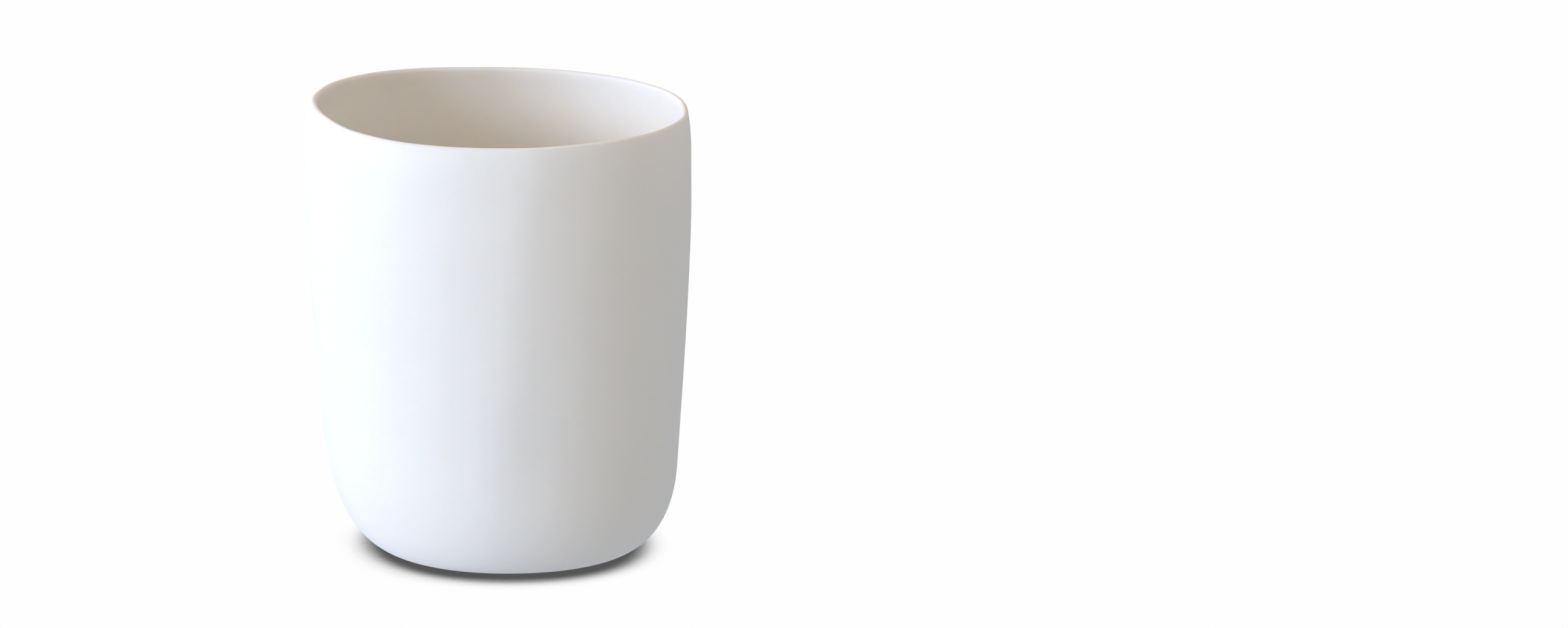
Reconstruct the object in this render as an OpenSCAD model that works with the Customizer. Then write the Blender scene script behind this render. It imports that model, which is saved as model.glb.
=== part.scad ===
// Pen holder cup.
// One hand-finished porcelain body stands on soft bumper feet, each held in the recess
// under the base by a disc of adhesive film.
// Millimetres, +Z up. The origin is on the desk, under the middle of the cup.
// Angles run anticlockwise from +X, seen from above. The front of the cup faces -Y.

/* [Cup] */
// Height of the rim above the desk, before its wave
cup_h = 97.5; // [78:0.5:125]
// Outside diameter at the widest place
belly_d = 84.6; // [68:0.2:105]
// Distance from the rim down to the widest place
belly_drop = 21; // [14:0.5:32]
// How much narrower the wall line is at the foot than at the belly, on the radius
wall_taper = 5.1; // [0:0.1:8]
// How the taper sets in below the belly, where 1 is a straight line
taper_power = 1.35; // [1:0.05:3]
// How far the rim draws in from the belly, on the radius
rim_draw = 1.3; // [0.8:0.1:2]
// Height of the stretch below the rim that draws in
shoulder_h = 9.4; // [8:0.2:20]
// How late the draw sets in, where 2 is a parabola
shoulder_power = 2.4; // [1.5:0.1:4]

/* [Walls] */
// Thickness of the wall
wall_t = 2.6; // [2:0.1:3.6]
// Thickness of the rounded lip
lip_t = 1.5; // [1.1:0.1:2]
// Height of the stretch in which the wall thins towards the lip
lip_run = 15; // [8:0.5:24]
// Thickness of the floor
floor_t = 4; // [3:0.1:6]

/* [Heel and foot ring] */
// Mean height of the rounded heel
heel_h = 23.2; // [17:0.2:28]
// Fullness of the heel's curve, where 2 is an ellipse
heel_power = 2.3; // [2:0.1:3]
// Outside diameter of the foot ring
foot_d = 48; // [39:0.5:58]
// Width of the foot ring's flat
foot_w = 3.4; // [2.4:0.1:5]
// Depth of the recess inside the foot ring
recess_depth = 1.2; // [0.9:0.05:1.5]

/* [Hand-made unevenness] */
// Size of the two-lobed unevenness of the plan, on the radius
oval = 0.3; // [0:0.05:1.2]
// Direction of its first lobe
oval_turn = -58; // [-90:1:90]
// Size of the three-lobed unevenness of the plan
trefoil = 0.45; // [0:0.05:1.2]
// Direction of its first lobe
trefoil_turn = -59; // [-60:1:60]
// Size of the four-lobed unevenness of the plan
squareness = 0.55; // [0:0.05:1.2]
// Direction of its first lobe
squareness_turn = -35; // [-45:1:45]
// How much higher than its mean the rim stands at its high side
rim_tilt = 0.6; // [0:0.05:1.5]
// Direction of the high side
rim_tilt_turn = 148; // [-180:1:180]
// Height of the rim's two-crested wave
rim_wave = 0.55; // [0:0.05:1.5]
// Direction of its first crest
rim_wave_turn = -25; // [-90:1:90]
// How much taller than its mean the heel is on its soft side
heel_lop = 5; // [0:0.1:9]
// Direction of the soft side
heel_lop_turn = 148; // [-180:1:180]
// How much more than its mean the rim draws in on its tighter side
draw_lop = 0.55; // [0:0.05:0.8]
// Direction of the tighter side
draw_lop_turn = 180; // [-180:1:180]
// How far the foot lies off the middle of the rim, towards +X
foot_shift = 1.1; // [-2:0.1:2]

/* [Bumper feet] */
// Number of bumper feet
bumper_count = 4; // [3:1:6]
// Diameter of a bumper foot
bumper_d = 8; // [6:0.5:10]
// Height of a bumper foot
bumper_h = 1.45; // [1.2:0.05:2]
// Radius of its rounded lower edge
bumper_round = 0.9; // [0.3:0.1:1.1]
// Room between a bumper foot and the side of the recess
bumper_room = 1.2; // [0.6:0.1:3]
// Direction of the first bumper foot
bumper_turn = 45; // [0:1:90]
// How far a bumper foot reaches past its disc of adhesive film, all round
adhesive_inset = 0.4; // [0:0.1:1]
// Thickness of the adhesive film
adhesive_t = 0.15; // [0.1:0.05:0.3]

/* [Hidden] */

segments = 60;                // points around each ring of the body
heel_rings = 10;
wall_rings = 11;
lip_rings = 6;
round_steps = 6;              // steps in a bumper foot's rounded edge
hole_fn = 96;                 // for the true circles

foot_gap = bumper_h + adhesive_t - recess_depth;  // the foot ring's height above the desk
body_h = cup_h - foot_gap;
belly_r = belly_d / 2;
belly_z = body_h - belly_drop;
shoulder_z = body_h - shoulder_h;
heel_r = belly_r - wall_taper;
foot_r = foot_d / 2;
recess_r = foot_r - foot_w;
floor_z = recess_depth + floor_t;
bumper_ring_r = recess_r - bumper_room - bumper_d / 2;
adhesive_d = bumper_d - 2 * adhesive_inset;

porcelain = [0.93, 0.92, 0.90];
clear_rubber = [0.86, 0.88, 0.88];
film = [0.80, 0.74, 0.60];

// One cosine wave around the cup
function wave(t, lobes, size, turn) = size * cos(lobes * (t - turn));

// The plan's unevenness, as a share of the radius
function plan(t) = 1 + (
    wave(t, 2, oval, oval_turn)
    + wave(t, 3, trefoil, trefoil_turn)
    + wave(t, 4, squareness, squareness_turn)
) / belly_r;

// The rim's unevenness in height
function rim_rise(t) = wave(t, 1, rim_tilt, rim_tilt_turn) + wave(t, 2, rim_wave, rim_wave_turn);

// Height of the heel on one side of the cup
function heel_at(t) = heel_h + wave(t, 1, heel_lop, heel_lop_turn);

// How far the rim draws in on one side of the cup
function draw_at(t) = rim_draw + wave(t, 1, draw_lop, draw_lop_turn);

// The outside wall's radius at a height above the foot ring, before the heel is rounded
function wall_r(z, t) = belly_r
    - (z < belly_z ? wall_taper * pow((belly_z - z) / belly_z, taper_power) : 0)
    - (z > shoulder_z ? draw_at(t) * pow((z - shoulder_z) / shoulder_h, shoulder_power) : 0);

// The lip is a round edge that carries on the line of the outside wall
lip_r = lip_t / 2;
lip_z = body_h - lip_r;
function lip_lean(t) = atan(draw_at(t) * shoulder_power / shoulder_h);
function lip_start_z(t) = lip_z + lip_r * sin(lip_lean(t));
function lip_mid_r(t) = wall_r(lip_start_z(t), t) - lip_r * cos(lip_lean(t));

// Wall thickness at a height: even, then thinning to what the lip leaves
function thickness(z, t) = let (
    s = max(0, (z - (lip_z - lip_run)) / lip_run),
    lip_wall_t = wall_r(lip_z, t) - (lip_mid_r(t) - lip_r)
) wall_t - (wall_t - lip_wall_t) * s * s * (3 - 2 * s);

// A point on the body, from its height above the foot ring, its radius and its direction
function rise(z) = pow(max(0, z - floor_z) / (body_h - floor_z), 2);
function place(z, r, t) = [
    r * plan(t) * cos(t) + foot_shift * (1 - z / body_h),
    r * plan(t) * sin(t),
    foot_gap + z + rim_rise(t) * rise(z)
];

// The heel's curve, outside (low = 0, inset = 0) and inside: a superellipse about one centre
function heel_point(t, a, low, inset) = let (
    top = heel_at(t),
    z = top - (top - low) * pow(cos(a), 2 / heel_power),
    cut = (heel_r - foot_r - inset) * (1 - pow(sin(a), 2 / heel_power))
) place(z, wall_r(z, t) - inset - cut, t);

// The wall above the heel, outside (inset = false) and inside, with s from 0 at the heel to 1
function wall_point(t, s, top, inside) = let (
    z = heel_at(t) + (top - heel_at(t)) * s
) place(z, wall_r(z, t) - (inside ? thickness(z, t) : 0), t);

function lip_point(t, s) = let (
    a = lip_lean(t) + (180 - lip_lean(t)) * s
) place(lip_z + lip_r * sin(a), lip_mid_r(t) + lip_r * cos(a), t);

// All stations of the body's section in one direction, from the recess out, up and back in
function section(t) = concat(
    [place(recess_depth, recess_r, t)],
    [place(0, recess_r, t)],
    [for (k = [0:heel_rings]) heel_point(t, 90 * k / heel_rings, 0, 0)],
    [for (k = [1:wall_rings]) wall_point(t, k / wall_rings, lip_start_z(t), false)],
    [for (k = [1:lip_rings]) lip_point(t, k / lip_rings)],
    [for (k = [wall_rings - 1:-1:0]) wall_point(t, k / wall_rings, lip_z, true)],
    [for (k = [heel_rings - 1:-1:0]) heel_point(t, 90 * k / heel_rings, floor_z, wall_t)]
);

sections = [for (i = [0:segments - 1]) section(360 * i / segments)];
stations = len(sections[0]);

// Everything is moved so that the body's box is centred over the origin
all_x = [for (s = sections) for (p = s) p.x];
all_y = [for (s = sections) for (p = s) p.y];
mid = [(min(all_x) + max(all_x)) / 2, (min(all_y) + max(all_y)) / 2, 0];
foot_middle = [foot_shift, 0, 0] - mid;

module cup_body() {
    under = len(sections) * stations;
    recess_middle = [foot_shift, 0, foot_gap + recess_depth];
    floor_middle = [foot_shift, 0, foot_gap + floor_z];
    points = concat([for (s = sections) for (p = s) p], [recess_middle, floor_middle]);
    function at(i, k) = (i % segments) * stations + k;
    faces = concat(
        [for (i = [0:segments - 1]) [under, at(i, 0), at(i + 1, 0)]],
        [for (i = [0:segments - 1]) for (k = [0:stations - 2]) [at(i, k), at(i, k + 1), at(i + 1, k + 1)]],
        [for (i = [0:segments - 1]) for (k = [0:stations - 2]) [at(i, k), at(i + 1, k + 1), at(i + 1, k)]],
        [for (i = [0:segments - 1]) [at(i, stations - 1), under + 1, at(i + 1, stations - 1)]]
    );
    color(porcelain) translate(-mid) polyhedron(points = points, faces = faces, convexity = 4);
}

// Puts its children at bumper foot number i
module at_bumper(i) {
    turn = bumper_turn + 360 * (i - 1) / bumper_count;
    translate(foot_middle + bumper_ring_r * [cos(turn), sin(turn), 0]) children();
}

module bumper_foot(i) {
    r = bumper_d / 2;
    edge = [for (k = [0:round_steps]) let (a = 90 * k / round_steps)
        [r - bumper_round * (1 - sin(a)), bumper_round * (1 - cos(a))]];
    color(clear_rubber) at_bumper(i)
        rotate_extrude($fn = hole_fn) polygon(concat([[0, 0]], edge, [[r, bumper_h], [0, bumper_h]]));
}

module adhesive_disc(i) {
    color(film) at_bumper(i)
        translate([0, 0, bumper_h]) cylinder(d = adhesive_d, h = adhesive_t, $fn = hole_fn);
}

cup_body();
for (i = [1:bumper_count]) {
    bumper_foot(i);
    adhesive_disc(i);
}
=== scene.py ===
"""A pen holder cup: a matt white porcelain body that stands on four clear bumper feet.

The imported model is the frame. The porcelain, the feet and the films of adhesive are made here again,
smooth and with their small details, in the places and within the sizes that the frame gives.
The classes hold sizes in millimetres, and the scene is in metres. Angles run anticlockwise from +X,
seen from above, and the front of the cup faces -Y.
"""

import logging
import math
from dataclasses import dataclass, field
from enum import Enum

import bmesh
import bpy
import numpy as np
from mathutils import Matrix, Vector


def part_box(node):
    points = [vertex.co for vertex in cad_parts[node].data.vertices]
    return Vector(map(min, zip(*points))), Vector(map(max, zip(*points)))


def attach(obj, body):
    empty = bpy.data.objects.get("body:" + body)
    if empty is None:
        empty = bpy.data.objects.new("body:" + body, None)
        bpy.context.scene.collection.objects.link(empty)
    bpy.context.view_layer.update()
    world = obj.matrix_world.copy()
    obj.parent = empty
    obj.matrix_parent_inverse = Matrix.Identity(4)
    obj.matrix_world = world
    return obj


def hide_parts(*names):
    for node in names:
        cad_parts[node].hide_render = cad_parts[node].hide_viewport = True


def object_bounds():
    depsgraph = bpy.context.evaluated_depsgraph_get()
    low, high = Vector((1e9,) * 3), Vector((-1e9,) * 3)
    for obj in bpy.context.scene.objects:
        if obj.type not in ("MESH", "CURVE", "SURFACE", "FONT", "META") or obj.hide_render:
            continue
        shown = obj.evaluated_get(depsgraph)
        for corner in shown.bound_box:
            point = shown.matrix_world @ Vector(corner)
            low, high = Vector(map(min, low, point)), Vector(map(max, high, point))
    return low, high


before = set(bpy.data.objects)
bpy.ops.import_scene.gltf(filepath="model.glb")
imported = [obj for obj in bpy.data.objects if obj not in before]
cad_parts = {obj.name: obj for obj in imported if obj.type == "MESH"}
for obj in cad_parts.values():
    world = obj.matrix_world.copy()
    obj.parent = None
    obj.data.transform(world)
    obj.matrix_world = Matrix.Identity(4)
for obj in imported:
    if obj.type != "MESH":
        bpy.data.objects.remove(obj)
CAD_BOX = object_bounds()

MM = 0.001
TURN = 2 * math.pi

logging.basicConfig(level=logging.INFO, format="%(message)s")
log = logging.getLogger("pen_cup")

Color = tuple[float, float, float]


class Slot(Enum):
    """The record's material slots."""

    PORCELAIN = "porcelain"
    RUBBER = "clear_rubber"
    FILM = "adhesive_film"


# ---------------------------------------------------------------------------------------------------------
# Shader node groups
# ---------------------------------------------------------------------------------------------------------


class GroupBuilder:
    """A shader node group in the making."""

    def __init__(self, name: str) -> None:
        """Starts an empty group.

        Args:
            name: The group's name.
        """
        self.tree = bpy.data.node_groups.new(name, "ShaderNodeTree")
        self.inlet = self.tree.nodes.new("NodeGroupInput")
        self.outlet = self.tree.nodes.new("NodeGroupOutput")

    def take(self, name: str, kind: str, value: float | tuple[float, ...]) -> None:
        """Adds an input socket.

        Args:
            name: The socket's name.
            kind: The socket's type, such as NodeSocketFloat.
            value: The value it has until a material sets its own.
        """
        socket = self.tree.interface.new_socket(name=name, in_out="INPUT", socket_type=kind)
        socket.default_value = value

    def give(self, name: str, kind: str, source: bpy.types.NodeSocket) -> None:
        """Adds an output socket and feeds it.

        Args:
            name: The socket's name.
            kind: The socket's type, such as NodeSocketFloat.
            source: The socket inside the group that feeds it.
        """
        self.tree.interface.new_socket(name=name, in_out="OUTPUT", socket_type=kind)
        self.link(source, self.outlet.inputs[name])

    def link(self, source: bpy.types.NodeSocket, target: bpy.types.NodeSocket) -> None:
        """Joins two sockets."""
        self.tree.links.new(source, target)

    def place(self) -> bpy.types.NodeSocket:
        """Returns a point's position on the object, in metres in the row frame."""
        return self.tree.nodes.new("ShaderNodeTexCoord").outputs["Object"]

    def noise(
        self,
        vector: bpy.types.NodeSocket,
        scale: bpy.types.NodeSocket | float,
        detail: float = 2.0,
        roughness: float = 0.5,
    ) -> bpy.types.NodeSocket:
        """Adds a noise texture.

        Args:
            vector: Where the noise is read.
            scale: Its scale per metre, as a socket or a number.
            detail: How many finer layers it has.
            roughness: How strong the finer layers are.

        Returns:
            The noise's value, from 0 to 1.
        """
        node = self.tree.nodes.new("ShaderNodeTexNoise")
        node.inputs["Detail"].default_value = detail
        node.inputs["Roughness"].default_value = roughness
        self.link(vector, node.inputs["Vector"])
        self.feed(scale, node.inputs["Scale"])
        return node.outputs["Fac"]

    def feed(self, source: bpy.types.NodeSocket | float, target: bpy.types.NodeSocket) -> None:
        """Links a socket to the target, or sets the target to a number.

        Args:
            source: The socket or the number.
            target: The socket that takes it.
        """
        if isinstance(source, (int, float)):
            target.default_value = source
        else:
            self.link(source, target)

    def work_out(
        self,
        operation: str,
        first: bpy.types.NodeSocket | float,
        second: bpy.types.NodeSocket | float,
    ) -> bpy.types.NodeSocket:
        """Adds a Math node.

        Args:
            operation: The node's operation, such as MULTIPLY.
            first: Its first value.
            second: Its second value.

        Returns:
            The result.
        """
        node = self.tree.nodes.new("ShaderNodeMath")
        node.operation = operation
        self.feed(first, node.inputs[0])
        self.feed(second, node.inputs[1])
        return node.outputs[0]

    def smooth_step(
        self,
        value: bpy.types.NodeSocket,
        low: bpy.types.NodeSocket | float,
        high: bpy.types.NodeSocket | float,
        low_gives: bpy.types.NodeSocket | float = 0.0,
        high_gives: bpy.types.NodeSocket | float = 1.0,
    ) -> bpy.types.NodeSocket:
        """Adds a smooth step from one value to another.

        Args:
            value: What is mapped.
            low: The value that gives low_gives.
            high: The value that gives high_gives.
            low_gives: The result at and below low.
            high_gives: The result at and above high.

        Returns:
            The result.
        """
        node = self.tree.nodes.new("ShaderNodeMapRange")
        node.interpolation_type = "SMOOTHSTEP"
        self.link(value, node.inputs["Value"])
        self.feed(low, node.inputs["From Min"])
        self.feed(high, node.inputs["From Max"])
        self.feed(low_gives, node.inputs["To Min"])
        self.feed(high_gives, node.inputs["To Max"])
        return node.outputs["Result"]


def grain_group() -> bpy.types.NodeTree:
    """Fine surface grain: a height for bump and a roughness that varies with it.

    Returns:
        The node group, with inputs Grain per metre, Waviness per metre, Waviness share, Smoothest and
        Roughest, and outputs Height and Roughness.
    """
    group = GroupBuilder("Fine grain")
    group.take("Grain per metre", "NodeSocketFloat", 6000.0)
    group.take("Waviness per metre", "NodeSocketFloat", 120.0)
    group.take("Waviness share", "NodeSocketFloat", 0.5)
    group.take("Smoothest", "NodeSocketFloat", 0.45)
    group.take("Roughest", "NodeSocketFloat", 0.6)
    inlet = group.inlet.outputs
    place = group.place()
    grain = group.noise(place, inlet["Grain per metre"], detail=4.0, roughness=0.6)
    waves = group.noise(place, inlet["Waviness per metre"], detail=1.0, roughness=0.4)
    raised = group.work_out("MULTIPLY", waves, inlet["Waviness share"])
    group.give("Height", "NodeSocketFloat", group.work_out("ADD", grain, raised))
    patchy = group.work_out("MULTIPLY", group.work_out("ADD", grain, waves), 0.5)
    spread = group.smooth_step(patchy, 0.3, 0.7, inlet["Smoothest"], inlet["Roughest"])
    group.give("Roughness", "NodeSocketFloat", spread)
    return group.tree


def mottle_group() -> bpy.types.NodeTree:
    """Soft clouds of one colour in another, with rare small specks.

    Returns:
        The node group, with inputs Ground, Clouds, Specks, Clouds per metre, Specks per metre and Speck
        share, and output Color.
    """
    group = GroupBuilder("Soft mottling")
    group.take("Ground", "NodeSocketColor", (0.9, 0.9, 0.9, 1.0))
    group.take("Clouds", "NodeSocketColor", (0.88, 0.88, 0.88, 1.0))
    group.take("Specks", "NodeSocketColor", (0.6, 0.6, 0.6, 1.0))
    group.take("Clouds per metre", "NodeSocketFloat", 40.0)
    group.take("Specks per metre", "NodeSocketFloat", 400.0)
    group.take("Speck share", "NodeSocketFloat", 0.05)
    inlet = group.inlet.outputs
    place = group.place()
    clouds = group.noise(place, inlet["Clouds per metre"], detail=3.0, roughness=0.55)
    cells = group.tree.nodes.new("ShaderNodeTexVoronoi")
    group.link(place, cells.inputs["Vector"])
    group.link(inlet["Specks per metre"], cells.inputs["Scale"])
    specks = group.smooth_step(cells.outputs["Distance"], inlet["Speck share"], 0.0)
    cloudy = group.smooth_step(clouds, 0.35, 0.65)
    dense = group.smooth_step(clouds, 0.52, 0.62)
    speckled = group.work_out("MULTIPLY", specks, dense)
    colour = inlet["Ground"]
    for share, layer in ((cloudy, "Clouds"), (speckled, "Specks")):
        mix = group.tree.nodes.new("ShaderNodeMix")
        mix.data_type = "RGBA"
        group.link(share, mix.inputs["Factor"])
        group.link(colour, mix.inputs[6])
        group.link(inlet[layer], mix.inputs[7])
        colour = mix.outputs[2]
    group.give("Color", "NodeSocketColor", colour)
    return group.tree


def contact_wear_group() -> bpy.types.NodeTree:
    """Where the lowest few tenths of a millimetre have rubbed on desks.

    Returns:
        The node group, with inputs Height and Fade in metres, and Scuffs per metre, and output Wear, from
        0 on clean surface to 1 on rubbed surface.
    """
    group = GroupBuilder("Contact wear")
    group.take("Height", "NodeSocketFloat", 0.0006)
    group.take("Fade", "NodeSocketFloat", 0.0006)
    group.take("Scuffs per metre", "NodeSocketFloat", 900.0)
    inlet = group.inlet.outputs
    place = group.place()
    split = group.tree.nodes.new("ShaderNodeSeparateXYZ")
    group.link(place, split.inputs["Vector"])
    top = group.work_out("ADD", inlet["Height"], inlet["Fade"])
    low = group.smooth_step(split.outputs["Z"], top, inlet["Height"])
    scuffs = group.noise(place, inlet["Scuffs per metre"], detail=3.0, roughness=0.65)
    patches = group.smooth_step(scuffs, 0.4, 0.7)
    group.give("Wear", "NodeSocketFloat", group.work_out("MULTIPLY", low, patches))
    return group.tree


@dataclass
class SharedEffects:
    """The node groups that the materials share, each built once."""

    grain: bpy.types.NodeTree = field(default_factory=grain_group)
    mottle: bpy.types.NodeTree = field(default_factory=mottle_group)
    contact_wear: bpy.types.NodeTree = field(default_factory=contact_wear_group)


# ---------------------------------------------------------------------------------------------------------
# Finishes
# ---------------------------------------------------------------------------------------------------------


@dataclass(frozen=True)
class SurfaceFinish:
    """How one material looks. Lengths are in millimetres.

    The colours are linear. The grain, the mottling and the wear come from the shared node groups.
    """

    name: str
    ground: Color
    clouds: Color
    specks: Color
    worn: Color
    cloud_size: float
    speck_size: float
    speck_share: float
    grain_size: float
    wave_size: float
    wave_share: float
    grain_depth: float
    smoothest: float
    roughest: float
    wear_height: float
    ior: float = 1.5
    diffuse_roughness: float = 0.0
    subsurface: float = 0.0
    subsurface_depth: float = 1.0
    subsurface_tint: Color = (1.0, 0.6, 0.4)

    def build(self, effects: SharedEffects) -> bpy.types.Material:
        """Makes the material.

        Args:
            effects: The shared node groups.

        Returns:
            The material.
        """
        material = bpy.data.materials.new(self.name)
        material.use_nodes = True
        nodes = material.node_tree.nodes
        links = material.node_tree.links
        shader = nodes["Principled BSDF"]
        for socket, value in {
            "IOR": self.ior,
            "Diffuse Roughness": self.diffuse_roughness,
            "Subsurface Weight": self.subsurface,
            "Subsurface Scale": self.subsurface_depth * MM,
            "Subsurface Radius": self.subsurface_tint,
        }.items():
            shader.inputs[socket].default_value = value

        mottle = self._group(nodes, effects.mottle, {
            "Ground": (*self.ground, 1.0),
            "Clouds": (*self.clouds, 1.0),
            "Specks": (*self.specks, 1.0),
            "Clouds per metre": 1 / (self.cloud_size * MM),
            "Specks per metre": 1 / (self.speck_size * MM),
            "Speck share": self.speck_share,
        })
        grain = self._group(nodes, effects.grain, {
            "Grain per metre": 1 / (self.grain_size * MM),
            "Waviness per metre": 1 / (self.wave_size * MM),
            "Waviness share": self.wave_share,
            "Smoothest": self.smoothest,
            "Roughest": self.roughest,
        })
        wear = self._group(nodes, effects.contact_wear, {
            "Height": self.wear_height * MM,
            "Fade": self.wear_height * MM,
        })
        mix = nodes.new("ShaderNodeMix")
        mix.data_type = "RGBA"
        mix.inputs[7].default_value = (*self.worn, 1.0)
        links.new(wear.outputs["Wear"], mix.inputs["Factor"])
        links.new(mottle.outputs["Color"], mix.inputs[6])
        links.new(mix.outputs[2], shader.inputs["Base Color"])
        links.new(grain.outputs["Roughness"], shader.inputs["Roughness"])
        bump = nodes.new("ShaderNodeBump")
        bump.inputs["Strength"].default_value = 1.0
        bump.inputs["Distance"].default_value = self.grain_depth * MM
        links.new(grain.outputs["Height"], bump.inputs["Height"])
        links.new(bump.outputs["Normal"], shader.inputs["Normal"])
        return material

    @staticmethod
    def _group(
        nodes: bpy.types.Nodes,
        tree: bpy.types.NodeTree,
        values: dict[str, float | tuple[float, ...]],
    ) -> bpy.types.ShaderNodeGroup:
        """Places a node group and sets its inputs.

        Args:
            nodes: The material's nodes.
            tree: The node group.
            values: Input name to value.

        Returns:
            The placed node.
        """
        node = nodes.new("ShaderNodeGroup")
        node.node_tree = tree
        for name, value in values.items():
            node.inputs[name].default_value = value
        return node


PORCELAIN = SurfaceFinish(
    name="Bisque porcelain",
    ground=(0.90, 0.885, 0.862),
    clouds=(0.885, 0.872, 0.852),
    specks=(0.62, 0.58, 0.52),
    worn=(0.82, 0.805, 0.78),
    cloud_size=22.0,
    speck_size=2.6,
    speck_share=0.035,
    grain_size=0.22,
    wave_size=9.0,
    wave_share=4.0,
    grain_depth=0.006,
    smoothest=0.52,
    roughest=0.66,
    wear_height=0.42,
    diffuse_roughness=0.6,
    subsurface=0.5,
    subsurface_depth=3.5,
    subsurface_tint=(1.0, 0.6, 0.35),
)

RUBBER = SurfaceFinish(
    name="Clear polyurethane",
    ground=(0.80, 0.83, 0.83),
    clouds=(0.74, 0.77, 0.77),
    specks=(0.50, 0.49, 0.46),
    worn=(0.52, 0.51, 0.48),
    cloud_size=3.0,
    speck_size=0.9,
    speck_share=0.06,
    grain_size=0.12,
    wave_size=2.4,
    wave_share=1.5,
    grain_depth=0.004,
    smoothest=0.22,
    roughest=0.4,
    wear_height=0.06,
    ior=1.49,
    subsurface=0.6,
    subsurface_depth=0.8,
    subsurface_tint=(0.9, 1.0, 1.0),
)

FILM = SurfaceFinish(
    name="Adhesive film",
    ground=(0.74, 0.66, 0.49),
    clouds=(0.66, 0.57, 0.40),
    specks=(0.48, 0.42, 0.32),
    worn=(0.50, 0.44, 0.34),
    cloud_size=2.0,
    speck_size=0.7,
    speck_share=0.08,
    grain_size=0.1,
    wave_size=1.2,
    wave_share=2.0,
    grain_depth=0.006,
    smoothest=0.3,
    roughest=0.5,
    wear_height=0.02,
    subsurface=0.3,
    subsurface_depth=0.3,
)


# ---------------------------------------------------------------------------------------------------------
# Meshes
# ---------------------------------------------------------------------------------------------------------


def closed_mesh(name: str, rings: np.ndarray) -> bpy.types.Object:
    """Makes a closed solid from rings of points, with a fan at its first and its last ring.

    Args:
        name: The new object's name.
        rings: Points in metres, as rings x points around x 3, in order from the middle of the underside,
            outwards, up and back to the middle of the top. The first and last ring are small.

    Returns:
        The object, smooth shaded.
    """
    count, around = rings.shape[:2]
    made = bmesh.new()
    grid = [[made.verts.new(p) for p in ring] for ring in rings]
    first = made.verts.new(rings[0].mean(axis=0))
    last = made.verts.new(rings[-1].mean(axis=0))
    for i in range(around):
        j = (i + 1) % around
        made.faces.new((first, grid[0][j], grid[0][i]))
        for k in range(count - 1):
            made.faces.new((grid[k][i], grid[k][j], grid[k + 1][j], grid[k + 1][i]))
        made.faces.new((last, grid[-1][i], grid[-1][j]))
    bmesh.ops.recalc_face_normals(made, faces=made.faces)
    mesh = bpy.data.meshes.new(name)
    made.to_mesh(mesh)
    made.free()
    mesh.polygons.foreach_set("use_smooth", [True] * len(mesh.polygons))
    piece = bpy.data.objects.new(name, mesh)
    bpy.context.scene.collection.objects.link(piece)
    return piece


def arc(
    centre: tuple[float, float],
    radius: float,
    start: float,
    stop: float,
    steps: int,
) -> list[tuple[float, float]]:
    """Points along an arc in a section.

    Args:
        centre: The arc's centre, as radius from the axis and height.
        radius: The arc's radius.
        start: The first point's angle in degrees, from straight outwards towards up.
        stop: The last point's angle in degrees.
        steps: How many steps the arc has.

    Returns:
        The points, both ends included.
    """
    angles = [math.radians(start + (stop - start) * k / steps) for k in range(steps + 1)]
    return [(centre[0] + radius * math.cos(a), centre[1] + radius * math.sin(a)) for a in angles]


def hand_over(piece: bpy.types.Object, node: str, material: bpy.types.Material) -> None:
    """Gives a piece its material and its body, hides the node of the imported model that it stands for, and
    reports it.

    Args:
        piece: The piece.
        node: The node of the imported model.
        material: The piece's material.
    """
    piece.data.materials.append(material)
    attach(piece, "root")
    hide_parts(node)
    low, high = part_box(node)
    corners = np.array([v.co for v in piece.data.vertices])
    off = max(np.abs(corners.min(0) - low).max(), np.abs(corners.max(0) - high).max()) / MM
    log.info("%s: %d faces, corners within %.3f mm of the frame's", piece.name, len(piece.data.polygons), off)


@dataclass(frozen=True)
class Wave:
    """One cosine wave around the cup: lobes, size in millimetres and the direction of a crest in degrees."""

    lobes: int
    size: float
    crest: float

    def at(self, angle: np.ndarray) -> np.ndarray:
        """Returns the wave's height at the given directions, in radians."""
        return self.size * np.cos(self.lobes * (angle - math.radians(self.crest)))


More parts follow.
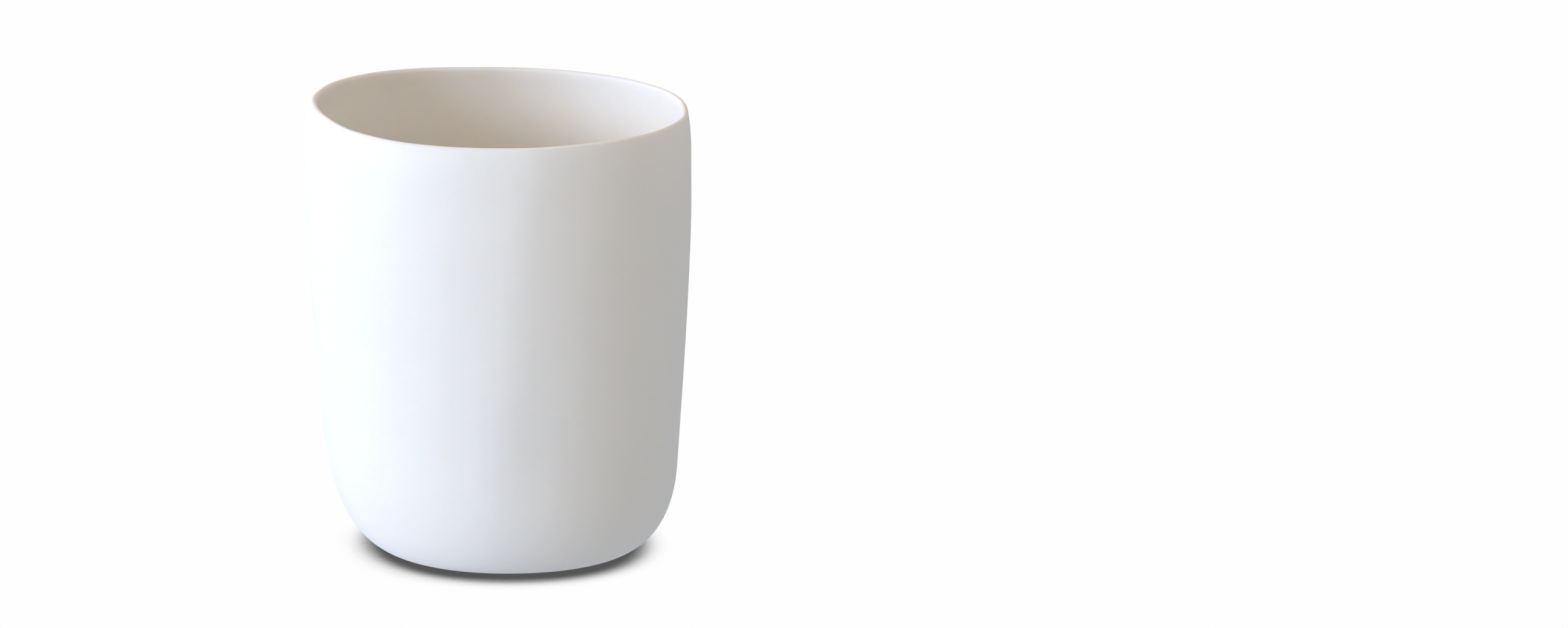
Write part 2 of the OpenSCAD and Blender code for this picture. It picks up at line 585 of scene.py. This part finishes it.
@dataclass
class PorcelainBody:
    """The cup's one-piece body, in millimetres.

    Its wall has one formula outside and inside: a belly near the rim, a taper to the foot, a rounded heel
    and a round lip. Waves in plan, rim, shoulder and heel make it as uneven as a hand-finished casting.
    The two lists of rings place them in twelfths of the radius.
    """

    node: str = "cup_body"
    belly_d: float = 84.6
    belly_drop: float = 21.0
    wall_taper: float = 5.1
    taper_power: float = 1.35
    rim_draw: float = 1.3
    shoulder_h: float = 9.4
    shoulder_power: float = 2.4
    rim_h: float = 97.5
    foot_gap: float = 0.4
    wall_t: float = 2.6
    lip_t: float = 1.5
    lip_run: float = 15.0
    floor_t: float = 4.0
    heel_h: float = 23.2
    heel_power: float = 2.3
    foot_d: float = 48.0
    foot_w: float = 3.4
    recess_depth: float = 1.2
    foot_shift: float = 1.1
    recess_fillet: float = 0.5
    ring_edge: float = 0.35
    plan_waves: tuple[Wave, ...] = (Wave(2, 0.3, -58), Wave(3, 0.45, -59), Wave(4, 0.55, -35))
    rim_waves: tuple[Wave, ...] = (Wave(1, 0.6, 148), Wave(2, 0.55, -25))
    heel_wave: Wave = Wave(1, 5.0, 148)
    draw_wave: Wave = Wave(1, 0.55, 180)
    ripples: tuple[Wave, ...] = (Wave(7, 0.12, -97), Wave(11, 0.05, -97), Wave(17, 0.045, -97))
    ripple_twist: float = -0.3
    ripple_inset: float = 0.14
    recess_rings: tuple[float, ...] = (0.25, 1, 3, 5, 7, 9, 10.5)
    floor_rings: tuple[float, ...] = (11, 9, 7, 5, 3, 1, 0.25)
    around: int = 240

    def __post_init__(self) -> None:
        """Works out the section's derived values."""
        self.body_h = self.rim_h - self.foot_gap
        self.belly_r = self.belly_d / 2
        self.belly_z = self.body_h - self.belly_drop
        self.shoulder_z = self.body_h - self.shoulder_h
        self.heel_r = self.belly_r - self.wall_taper
        self.foot_r = self.foot_d / 2
        self.recess_r = self.foot_r - self.foot_w
        self.floor_z = self.recess_depth + self.floor_t
        self.angle = np.arange(self.around) * TURN / self.around
        self.heel_top = self.heel_h + self.heel_wave.at(self.angle)
        self.draw = self.rim_draw + self.draw_wave.at(self.angle)
        self.lip_r = self.lip_t / 2
        self.lip_lean = np.arctan(self.draw * self.shoulder_power / self.shoulder_h)
        self.lip_z = self.body_h - self.lip_r
        self.lip_start_z = self.lip_z + self.lip_r * np.sin(self.lip_lean)
        self.lip_mid_r = self.wall_r(self.lip_start_z) - self.lip_r * np.cos(self.lip_lean)
        self.lip_wall_t = self.wall_r(self.lip_z) - (self.lip_mid_r - self.lip_r)

    def wall_r(self, z: float | np.ndarray) -> np.ndarray:
        """Works out the outside radius at a height, before the heel is rounded.

        Args:
            z: Height above the foot ring, the same all round or one for each direction.

        Returns:
            The radius in each direction.
        """
        z = np.asarray(z, float)
        below = np.clip((self.belly_z - z) / self.belly_z, 0, None) ** self.taper_power
        above = np.clip((z - self.shoulder_z) / self.shoulder_h, 0, None) ** self.shoulder_power
        return self.belly_r - self.wall_taper * below - self.draw * above

    def thickness(self, z: float | np.ndarray) -> np.ndarray:
        """Works out the wall's thickness at a height: even, then thinning to what the lip leaves.

        Args:
            z: Height above the foot ring, the same all round or one for each direction.

        Returns:
            The thickness in each direction.
        """
        s = np.clip((np.asarray(z, float) - (self.lip_z - self.lip_run)) / self.lip_run, 0, 1)
        return self.wall_t - (self.wall_t - self.lip_wall_t) * s * s * (3 - 2 * s)

    def ring(self, z: float | np.ndarray, radius: float | np.ndarray) -> np.ndarray:
        """Places one ring of points.

        Args:
            z: Height above the foot ring, the same all round or one for each direction.
            radius: Radius before the plan's unevenness, likewise.

        Returns:
            Points x 3, in millimetres.
        """
        z = np.broadcast_to(np.asarray(z, float), self.angle.shape)
        lift = (np.clip(z - self.floor_z, 0, None) / (self.body_h - self.floor_z)) ** 2
        reach = np.clip((z - self.floor_z) / self.heel_h, 0, 1)
        turned = self.angle + self.ripple_twist * z / self.body_h
        ripple = reach * (sum(w.at(turned) for w in self.ripples) - self.ripple_inset)
        plan = 1 + sum(w.at(self.angle) for w in self.plan_waves) / self.belly_r
        r = radius * plan + ripple
        x = r * np.cos(self.angle) + self.foot_shift * (1 - z / self.body_h)
        y = r * np.sin(self.angle)
        rise = sum(w.at(self.angle) for w in self.rim_waves)
        return np.stack([x, y, self.foot_gap + z + rise * lift], axis=1)

    def underside(self) -> list[np.ndarray]:
        """Makes the rings of the recess and of the foot ring's flat.

        Returns:
            The rings, from the middle of the recess outwards.
        """
        edge = self.recess_r
        section = [(edge * k / 12, self.recess_depth) for k in self.recess_rings]
        corner = (edge - self.recess_fillet, self.recess_depth - self.recess_fillet)
        section += arc(corner, self.recess_fillet, 90, 0, 6)
        section += arc((edge + self.ring_edge, self.ring_edge), self.ring_edge, 180, 270, 6)
        flat = self.foot_r - edge - self.ring_edge
        section += [(edge + self.ring_edge + flat * k / 4, 0.0) for k in (1, 2, 3)]
        return [self.ring(z, r) for r, z in section]

    def heel(self, low: float, inset: float, steps: int = 28) -> list[np.ndarray]:
        """Makes the rings of the heel's curve.

        Args:
            low: Height where it starts.
            inset: How far it lies inside the wall's outside.
            steps: How many rings it has above the first.

        Returns:
            The rings, from the bottom up.
        """
        rings = []
        for k in range(steps + 1):
            a = math.pi / 2 * k / steps
            z = self.heel_top - (self.heel_top - low) * math.cos(a) ** (2 / self.heel_power)
            cut = (self.heel_r - self.foot_r - inset) * (1 - math.sin(a) ** (2 / self.heel_power))
            rings.append(self.ring(z, self.wall_r(z) - inset - cut))
        return rings

    def wall(self, top: float, inside: bool, steps: int = 44) -> list[np.ndarray]:
        """Makes the rings of the wall above the heel.

        Args:
            top: Height where it ends.
            inside: Whether it is the inside of the wall.
            steps: How many rings it has.

        Returns:
            The rings, from the bottom up, without the one that the heel ends on.
        """
        rings = []
        for k in range(1, steps + 1):
            z = self.heel_top + (top - self.heel_top) * k / steps
            rings.append(self.ring(z, self.wall_r(z) - (self.thickness(z) if inside else 0)))
        return rings

    def lip(self, steps: int = 14) -> list[np.ndarray]:
        """Makes the rings over the round lip.

        Args:
            steps: How many rings it has.

        Returns:
            The rings, from outside to inside, without the one that the wall ends on.
        """
        rings = []
        for k in range(1, steps + 1):
            a = self.lip_lean + (math.pi - self.lip_lean) * k / steps
            z = self.lip_z + self.lip_r * np.sin(a)
            rings.append(self.ring(z, self.lip_mid_r + self.lip_r * np.cos(a)))
        return rings

    def floor(self) -> list[np.ndarray]:
        """Returns the rings of the inner floor, from its edge to its middle."""
        return [self.ring(self.floor_z, self.foot_r * k / 12) for k in self.floor_rings]

    def build(self, material: bpy.types.Material) -> bpy.types.Object:
        """Makes the body and hands it to the frame.

        Args:
            material: The porcelain.

        Returns:
            The piece.
        """
        outside = self.heel(0.0, 0.0) + self.wall(self.lip_start_z, inside=False)
        inside = self.wall(self.lip_z, inside=True)[-2::-1] + self.heel(self.floor_z, self.wall_t)[::-1]
        rings = self.underside() + outside + self.lip() + inside + self.floor()
        points = np.array(rings)
        flat = points.reshape(-1, 3)
        low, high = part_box(self.node)
        shift = np.array((low + high) / 2)[:2] / MM - (flat.min(0) + flat.max(0))[:2] / 2
        points[..., :2] += shift
        piece = closed_mesh("porcelain_body", points * MM)
        hand_over(piece, self.node, material)
        return piece


@dataclass
class BumperFoot:
    """One soft bumper foot and the film that holds it, in millimetres.

    The foot's end is dished within dish_share of its flat, and a thin skirt stands out at its top.
    """

    number: int
    flat_round: float = 0.9
    dish_share: float = 0.8
    skirt_w: float = 0.18
    skirt_h: float = 0.14
    shelf_round: float = 0.06
    skirt_round: float = 0.04
    dimple: float = 0.03
    film_ragged: float = 0.03
    around: int = 96

    def _spin(self, section: list[tuple[float, float]], middle: Vector, ragged: float = 0.0) -> np.ndarray:
        """Turns a section into rings about an upright axis.

        Args:
            section: Radius and height of each ring, in metres.
            middle: A point on the axis.
            ragged: How far the outline wanders, as a share of the radius.

        Returns:
            Rings x points x 3, in metres.
        """
        angle = np.arange(self.around) * TURN / self.around
        wander = 1 - ragged * (1 + np.cos(5 * angle + self.number) * np.cos(2 * angle)) / 2
        rings = []
        for r, z in section:
            x = middle.x + r * wander * np.cos(angle)
            y = middle.y + r * wander * np.sin(angle)
            rings.append(np.stack([x, y, np.full(self.around, z)], axis=1))
        return np.array(rings)

    def build_foot(self, material: bpy.types.Material) -> bpy.types.Object:
        """Makes the foot: a flat, faintly dished end, a round edge, a straight side and a thin cut skirt.

        Args:
            material: The clear rubber.

        Returns:
            The piece.
        """
        node = f"bumper_foot_{self.number}"
        low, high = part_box(node)
        outer = (high.x - low.x) / 2
        top = high.z
        side = outer - self.skirt_w * MM
        edge = self.flat_round * MM
        land = side - edge
        section = []
        for share in (0.03, 0.2, 0.4, 0.6, 0.7):
            dish = self.dimple * MM * (1 - (share / self.dish_share) ** 2)
            section.append((land * share, low.z + dish))
        section += [(land * self.dish_share, low.z), (land * 0.9, low.z)]
        section += arc((land, low.z + edge), edge, 270, 360, 12)
        shelf = top - self.skirt_h * MM
        inner = self.shelf_round * MM
        tip = self.skirt_round * MM
        section += arc((side + inner, shelf - inner), inner, 180, 90, 4)
        section += arc((outer - tip, shelf + tip), tip, 270, 360, 4)
        section += [(outer, top), (outer * 0.7, top), (outer * 0.35, top), (outer * 0.03, top)]
        piece = closed_mesh(node, self._spin(section, (low + high) / 2))
        hand_over(piece, node, material)
        return piece

    def build_film(self, material: bpy.types.Material) -> bpy.types.Object:
        """Makes the film of adhesive, with a softly ragged edge.

        Args:
            material: The film.

        Returns:
            The piece.
        """
        node = f"adhesive_disc_{self.number}"
        low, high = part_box(node)
        r = (high.x - low.x) / 2
        bulge = (high.z - low.z) / 2
        section = [(r * s, low.z) for s in (0.03, 0.35, 0.7)]
        section += arc((r - bulge, low.z + bulge), bulge, 270, 450, 8)
        section += [(r * s, high.z) for s in (0.7, 0.35, 0.03)]
        rings = self._spin(section, (low + high) / 2, self.film_ragged)
        piece = closed_mesh(node, rings)
        hand_over(piece, node, material)
        return piece


# ---------------------------------------------------------------------------------------------------------
# Studio
# ---------------------------------------------------------------------------------------------------------


@dataclass(frozen=True)
class Studio:
    """The pale floor, the soft light and the camera. Lengths are in metres and angles in degrees."""

    paper_white: float = 0.992
    floor_half: float = 6.0
    floor_bounce: float = 0.545
    floor_tint: Color = (0.858, 0.921, 1.0)
    shadow_reach: float = 0.12
    shadow_dark: float = 0.09
    shadow_openness: tuple[float, float] = (0.165, 0.49)
    sky_right: Color = (0.452, 0.457, 0.457)
    sky_left: Color = (0.83, 0.66, 0.475)
    key_strength: float = 3.72
    key_color: Color = (0.616, 0.753, 1.0)
    key_turn: float = -155.0
    key_rise: float = 8.0
    key_spread: float = 40.0
    camera_rise: float = 14.33
    camera_distance: float = 1.2
    lens: float = 127.1
    sensor: float = 36.0
    shift: tuple[float, float] = (0.1828, 0.0054)

    def set_view(self) -> None:
        """Shows the light as it falls, with no film curve."""
        view = bpy.context.scene.view_settings
        view.view_transform = "Standard"
        view.look = "None"
        view.exposure = 0.0
        view.gamma = 1.0

    def build_floor(self) -> bpy.types.Object:
        """Makes the floor: evenly lit white paper that darkens only where the cup shuts out the light.

        Returns:
            The floor.
        """
        made = bmesh.new()
        bmesh.ops.create_grid(made, x_segments=8, y_segments=8, size=self.floor_half)
        mesh = bpy.data.meshes.new("floor")
        made.to_mesh(mesh)
        made.free()
        floor = bpy.data.objects.new("floor", mesh)
        bpy.context.scene.collection.objects.link(floor)
        floor.data.materials.append(self._paper())
        return floor

    def _paper(self) -> bpy.types.Material:
        """Makes the floor's material, which is seen only from above.

        The camera sees it white and darker near the cup. To everything else it is an even, dimmer light.

        Returns:
            The material.
        """
        paper = bpy.data.materials.new("White paper")
        paper.use_nodes = True
        nodes = paper.node_tree.nodes
        links = paper.node_tree.links
        nodes.clear()
        openness = nodes.new("ShaderNodeAmbientOcclusion")
        openness.samples = 16
        openness.inputs["Distance"].default_value = self.shadow_reach
        fade = nodes.new("ShaderNodeMapRange")
        fade.interpolation_type = "SMOOTHSTEP"
        darkest, clearest = self.shadow_openness
        fade.inputs["From Min"].default_value = darkest
        fade.inputs["From Max"].default_value = clearest
        fade.inputs["To Min"].default_value = self.shadow_dark
        fade.inputs["To Max"].default_value = self.paper_white
        seen = nodes.new("ShaderNodeLightPath")
        level = nodes.new("ShaderNodeMix")
        level.inputs[2].default_value = self.floor_bounce
        tint = nodes.new("ShaderNodeMix")
        tint.data_type = "RGBA"
        tint.inputs[6].default_value = (*self.floor_tint, 1.0)
        tint.inputs[7].default_value = (1.0, 1.0, 1.0, 1.0)
        glow = nodes.new("ShaderNodeEmission")
        clear = nodes.new("ShaderNodeBsdfTransparent")
        side = nodes.new("ShaderNodeNewGeometry")
        both = nodes.new("ShaderNodeMixShader")
        out = nodes.new("ShaderNodeOutputMaterial")
        for source, target in (
            (openness.outputs["AO"], fade.inputs["Value"]),
            (seen.outputs["Is Camera Ray"], level.inputs[0]),
            (seen.outputs["Is Camera Ray"], tint.inputs[0]),
            (fade.outputs["Result"], level.inputs[3]),
            (tint.outputs[2], glow.inputs["Color"]),
            (level.outputs[0], glow.inputs["Strength"]),
            (side.outputs["Backfacing"], both.inputs[0]),
            (glow.outputs[0], both.inputs[1]),
            (clear.outputs[0], both.inputs[2]),
            (both.outputs[0], out.inputs["Surface"]),
        ):
            links.new(source, target)
        return paper

    def build_sky(self) -> None:
        """Makes the surroundings: white to the camera, and as light a soft room that is warm on the left."""
        world = bpy.data.worlds.new("Soft room")
        bpy.context.scene.world = world
        world.use_nodes = True
        nodes = world.node_tree.nodes
        links = world.node_tree.links
        nodes.clear()
        place = nodes.new("ShaderNodeTexCoord")
        split = nodes.new("ShaderNodeSeparateXYZ")
        across = nodes.new("ShaderNodeMapRange")
        across.interpolation_type = "SMOOTHSTEP"
        across.inputs["From Min"].default_value = 1.0
        across.inputs["From Max"].default_value = -1.0
        sky = nodes.new("ShaderNodeMix")
        sky.data_type = "RGBA"
        sky.inputs[6].default_value = (*self.sky_right, 1.0)
        sky.inputs[7].default_value = (*self.sky_left, 1.0)
        seen = nodes.new("ShaderNodeLightPath")
        shown = nodes.new("ShaderNodeMix")
        shown.data_type = "RGBA"
        shown.inputs[7].default_value = (self.paper_white, self.paper_white, self.paper_white, 1.0)
        light = nodes.new("ShaderNodeBackground")
        out = nodes.new("ShaderNodeOutputWorld")
        for source, target in (
            (place.outputs["Generated"], split.inputs[0]),
            (split.outputs["X"], across.inputs["Value"]),
            (across.outputs["Result"], sky.inputs[0]),
            (sky.outputs[2], shown.inputs[6]),
            (seen.outputs["Is Camera Ray"], shown.inputs[0]),
            (shown.outputs[2], light.inputs["Color"]),
            (light.outputs[0], out.inputs["Surface"]),
        ):
            links.new(source, target)

    def _from(self, turn: float, rise: float) -> Vector:
        """Works out the direction towards something that stands off the cup.

        Args:
            turn: Its angle in degrees, anticlockwise from +X.
            rise: Its angle in degrees above level.

        Returns:
            The direction, one unit long.
        """
        a = math.radians(turn)
        e = math.radians(rise)
        return Vector((math.cos(a) * math.cos(e), math.sin(a) * math.cos(e), math.sin(e)))

    def build_key(self) -> bpy.types.Object:
        """Makes the one large soft light, low on the left and a little in front.

        Returns:
            The light.
        """
        lamp = bpy.data.lights.new("soft_key", "SUN")
        lamp.energy = self.key_strength
        lamp.color = self.key_color
        lamp.angle = math.radians(self.key_spread)
        key = bpy.data.objects.new("soft_key", lamp)
        key.rotation_euler = self._from(self.key_turn, self.key_rise).to_track_quat("Z", "Y").to_euler()
        bpy.context.scene.collection.objects.link(key)
        return key

    def build_camera(self) -> bpy.types.Object:
        """Makes the camera, which looks from the front and a little above at the middle of the cup.

        Returns:
            The camera.
        """
        lens = bpy.data.cameras.new("camera")
        lens.lens = self.lens
        lens.sensor_width = self.sensor
        lens.shift_x, lens.shift_y = self.shift
        lens.clip_start = 0.05
        lens.clip_end = 50.0
        camera = bpy.data.objects.new("camera", lens)
        back = self._from(-90.0, self.camera_rise)
        camera.location = (CAD_BOX[0] + CAD_BOX[1]) / 2 + back * self.camera_distance
        camera.rotation_euler = back.to_track_quat("Z", "Y").to_euler()
        bpy.context.scene.collection.objects.link(camera)
        bpy.context.scene.camera = camera
        return camera


def main() -> None:
    """Builds the cup and its studio."""
    effects = SharedEffects()
    PorcelainBody().build(PORCELAIN.build(effects))
    rubber = RUBBER.build(effects)
    film = FILM.build(effects)
    feet = sum(name.startswith("bumper_foot_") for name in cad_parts)
    for number in range(1, feet + 1):
        foot = BumperFoot(number)
        foot.build_foot(rubber)
        foot.build_film(film)
    studio = Studio()
    studio.set_view()
    studio.build_floor()
    studio.build_sky()
    studio.build_key()
    studio.build_camera()


if __name__ == "__main__":
    main()
